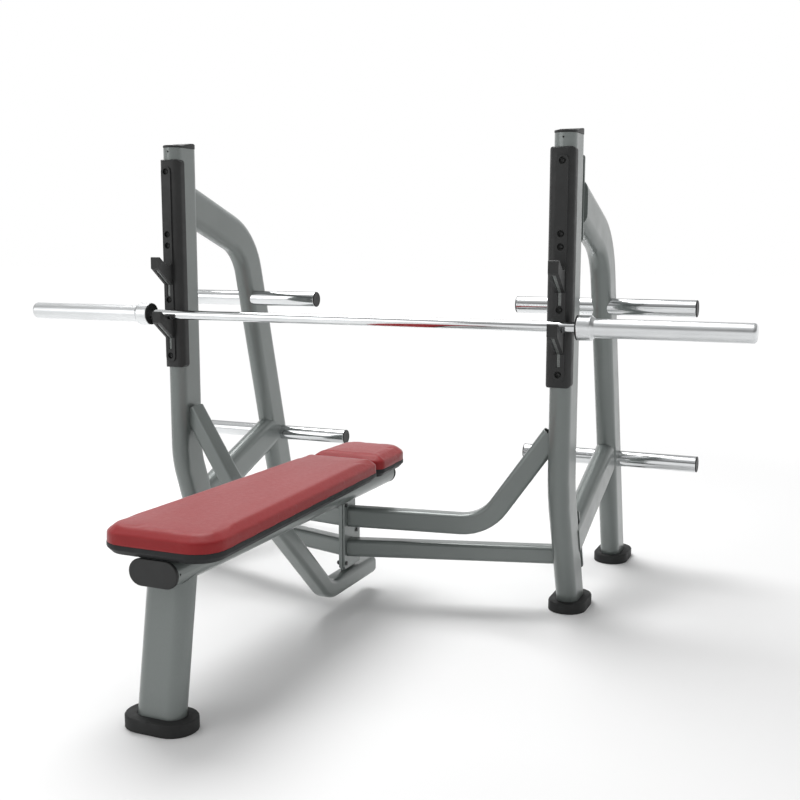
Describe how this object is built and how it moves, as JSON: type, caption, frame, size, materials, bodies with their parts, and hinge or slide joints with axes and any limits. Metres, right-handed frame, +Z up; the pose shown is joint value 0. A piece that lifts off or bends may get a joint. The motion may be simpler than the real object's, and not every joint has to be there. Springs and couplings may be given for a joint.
{
  "type": "olympic bench press",
  "caption": "Flat weight bench with padded top on a central beam, braced side frames with bar hooks and plate storage pegs, and a barbell racked in the hooks.",
  "frame": {"origin": "on the floor, under the middle of the object's bounding box", "axes": "+X along the barbell, +Y from the foot end of the bench towards the rear legs, +Z up"},
  "size_m": [2.2, 1.7864, 1.3224],
  "materials": {
    "frame_paint": "satin",
    "black_plastic": "moulded satin",
    "foot_rubber": "matte",
    "chrome": "polished",
    "hook_steel": "brushed",
    "red_vinyl": "fine-grained vinyl",
    "pad_tray": "moulded satin",
    "bolt_black": "blackened"
  },
  "bodies": {
    "frame": {"upright_left": "frame_paint", "upright_cap_left": "black_plastic", "upright_foot_left": "foot_rubber", "rear_tube_left": "frame_paint", "rear_foot_left": "foot_rubber", "rear_mount_plate_left": "frame_paint", "brace_plate_left": "frame_paint", "brace_tube_left": "frame_paint", "peg_upper_left": "chrome", "peg_upper_inner_cap_left": "black_plastic", "peg_upper_outer_cap_left": "black_plastic", "peg_lower_left": "chrome", "peg_lower_inner_cap_left": "black_plastic", "peg_lower_outer_cap_left": "black_plastic", "hook_cover_left": "black_plastic", "hook_core_upper_left": "hook_steel", "hook_core_lower_left": "hook_steel", "upper_crossbeam_left": "frame_paint", "lower_crossbeam_left": "frame_paint", "splice_plate_left": "frame_paint", "upright_right": "frame_paint", "upright_cap_right": "black_plastic", "upright_foot_right": "foot_rubber", "rear_tube_right": "frame_paint", "rear_foot_right": "foot_rubber", "rear_mount_plate_right": "frame_paint", "brace_plate_right": "frame_paint", "brace_tube_right": "frame_paint", "peg_upper_right": "chrome", "peg_upper_inner_cap_right": "black_plastic", "peg_upper_outer_cap_right": "black_plastic", "peg_lower_right": "chrome", "peg_lower_inner_cap_right": "black_plastic", "peg_lower_outer_cap_right": "black_plastic", "hook_cover_right": "black_plastic", "hook_core_upper_right": "hook_steel", "hook_core_lower_right": "hook_steel", "upper_crossbeam_right": "frame_paint", "lower_crossbeam_right": "frame_paint", "splice_plate_right": "frame_paint", "centre_plate": "frame_paint", "splice_bolt_1": "bolt_black", "splice_bolt_2": "bolt_black", "splice_bolt_3": "bolt_black", "bench_beam": "frame_paint", "beam_cap_front": "black_plastic", "beam_cap_rear": "black_plastic", "front_leg": "frame_paint", "front_foot": "foot_rubber", "bench_strut": "frame_paint", "main_pad_tray": "pad_tray", "main_pad_cushion": "red_vinyl", "head_pad_tray": "pad_tray", "head_pad_cushion": "red_vinyl"},
    "barbell": {"barbell_shaft": "chrome"},
    "left_sleeve": {"sleeve_left": "chrome", "collar_ring_left": "black_plastic"},
    "right_sleeve": {"sleeve_right": "chrome", "collar_ring_right": "black_plastic"}
  },
  "joints": [
    {"name": "barbell_lift", "type": "slide", "parent": "frame", "child": "barbell", "axis": [0, -0.7071, 0.7071], "range_m": [0, 0.35]},
    {"name": "left_sleeve_spin", "type": "hinge", "parent": "barbell", "child": "left_sleeve", "pos_m": [-0.88, 0.07227, 0.812], "axis": [1, 0, 0], "continuous": true},
    {"name": "right_sleeve_spin", "type": "hinge", "parent": "barbell", "child": "right_sleeve", "pos_m": [0.88, 0.07227, 0.812], "axis": [1, 0, 0], "continuous": true}
  ]
}
